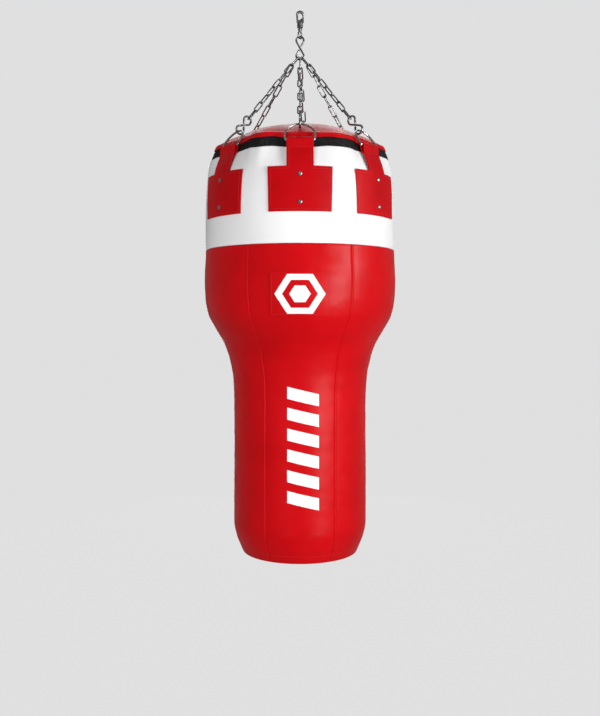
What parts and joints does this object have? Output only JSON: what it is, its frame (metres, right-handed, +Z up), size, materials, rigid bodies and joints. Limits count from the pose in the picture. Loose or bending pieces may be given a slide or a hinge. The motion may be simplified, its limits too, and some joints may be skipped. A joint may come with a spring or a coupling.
{
  "type": "punching bag",
  "caption": "Hanging uppercut punching bag: a wide padded head tapering to a slim lower body, on straps, D-rings and chains gathered at a swivel snap hook.",
  "frame": {"origin": "the point inside the snap hook's crown that rests on the hanger", "axes": "+Z up along the bag's axis, -Y towards the bag's front, +X to the right seen from the front"},
  "size_m": [0.462, 0.4701, 1.315],
  "materials": {
    "red_leather": "satin",
    "white_leather": "satin",
    "black_closure": "matte",
    "chain_steel": "satin",
    "ring_steel": "gloss",
    "zinc_steel": "satin",
    "rivet_steel": "gloss",
    "foam": "matte",
    "textile": "matte"
  },
  "bodies": {
    "snap_hook": {"snap_hook_body": "zinc_steel", "gate_pin": "zinc_steel"},
    "gate": {"hook_gate": "zinc_steel"},
    "swivel": {"swivel_eye": "zinc_steel"},
    "hanging_s_hook": {"top_s_hook": "chain_steel"},
    "bag": {"left_shared_link": "chain_steel", "middle_shared_link": "chain_steel", "right_shared_link": "chain_steel", "front_chain": "chain_steel", "front_s_hook": "chain_steel", "front_strap": "red_leather", "front_upper_rivet": "rivet_steel", "front_lower_rivet": "rivet_steel", "right_front_chain": "chain_steel", "right_front_s_hook": "chain_steel", "right_front_strap": "red_leather", "right_front_upper_rivet": "rivet_steel", "right_front_lower_rivet": "rivet_steel", "right_rear_chain": "chain_steel", "right_rear_s_hook": "chain_steel", "right_rear_strap": "red_leather", "right_rear_upper_rivet": "rivet_steel", "right_rear_lower_rivet": "rivet_steel", "rear_chain": "chain_steel", "rear_s_hook": "chain_steel", "rear_strap": "red_leather", "rear_upper_rivet": "rivet_steel", "rear_lower_rivet": "rivet_steel", "left_rear_chain": "chain_steel", "left_rear_s_hook": "chain_steel", "left_rear_strap": "red_leather", "left_rear_upper_rivet": "rivet_steel", "left_rear_lower_rivet": "rivet_steel", "left_front_chain": "chain_steel", "left_front_s_hook": "chain_steel", "left_front_strap": "red_leather", "left_front_upper_rivet": "rivet_steel", "left_front_lower_rivet": "rivet_steel", "lid": "red_leather", "black_closure_band": "black_closure", "white_band": "white_leather", "head_cover": "red_leather", "taper_cover": "red_leather", "body_cover": "red_leather", "bottom_disc": "red_leather", "emblem_patch": "red_leather", "foam_liner": "foam", "textile_filling": "textile"},
    "front_ring": {"front_d_ring": "ring_steel"},
    "right_front_ring": {"right_front_d_ring": "ring_steel"},
    "right_rear_ring": {"right_rear_d_ring": "ring_steel"},
    "rear_ring": {"rear_d_ring": "ring_steel"},
    "left_rear_ring": {"left_rear_d_ring": "ring_steel"},
    "left_front_ring": {"left_front_d_ring": "ring_steel"}
  },
  "joints": [
    {"name": "gate_open", "type": "hinge", "parent": "snap_hook", "child": "gate", "pos_m": [0.007, 0, -0.0174], "axis": [0, -1, 0], "range_deg": [0, 35], "stiffness_Nm_per_rad": 0.08, "springref_deg": -8.59},
    {"name": "swivel_spin", "type": "hinge", "parent": "snap_hook", "child": "swivel", "pos_m": [0, 0, -0.03], "axis": [0, 0, 1], "continuous": true},
    {"name": "s_hook_swing", "type": "hinge", "parent": "swivel", "child": "hanging_s_hook", "pos_m": [0, 0, -0.0605], "axis": [0, 1, 0], "range_deg": [-30, 30]},
    {"name": "bag_swing", "type": "hinge", "parent": "hanging_s_hook", "child": "bag", "pos_m": [0, 0, -0.1111], "axis": [1, 0, 0], "range_deg": [-30, 30]},
    {"name": "front_ring_tilt", "type": "hinge", "parent": "bag", "child": "front_ring", "pos_m": [0, -0.205, -0.3515], "axis": [1, 0, 0], "range_deg": [-2.5, 2.5]},
    {"name": "right_front_ring_tilt", "type": "hinge", "parent": "bag", "child": "right_front_ring", "pos_m": [0.15931, -0.12901, -0.3515], "axis": [0.6293, 0.7771, 0], "range_deg": [-2.5, 2.5]},
    {"name": "right_rear_ring_tilt", "type": "hinge", "parent": "bag", "child": "right_rear_ring", "pos_m": [0.15818, 0.1304, -0.3515], "axis": [-0.6361, 0.7716, 0], "range_deg": [-2.5, 2.5]},
    {"name": "rear_ring_tilt", "type": "hinge", "parent": "bag", "child": "rear_ring", "pos_m": [0.01787, 0.20422, -0.3515], "axis": [-0.9962, 0.0872, 0], "range_deg": [-2.5, 2.5]},
    {"name": "left_rear_ring_tilt", "type": "hinge", "parent": "bag", "child": "left_rear_ring", "pos_m": [-0.16479, 0.12194, -0.3515], "axis": [-0.5948, -0.8039, 0], "range_deg": [-2.5, 2.5]},
    {"name": "left_front_ring_tilt", "type": "hinge", "parent": "bag", "child": "left_front_ring", "pos_m": [-0.16264, -0.1248, -0.3515], "axis": [0.6088, -0.7934, 0], "range_deg": [-2.5, 2.5]}
  ]
}
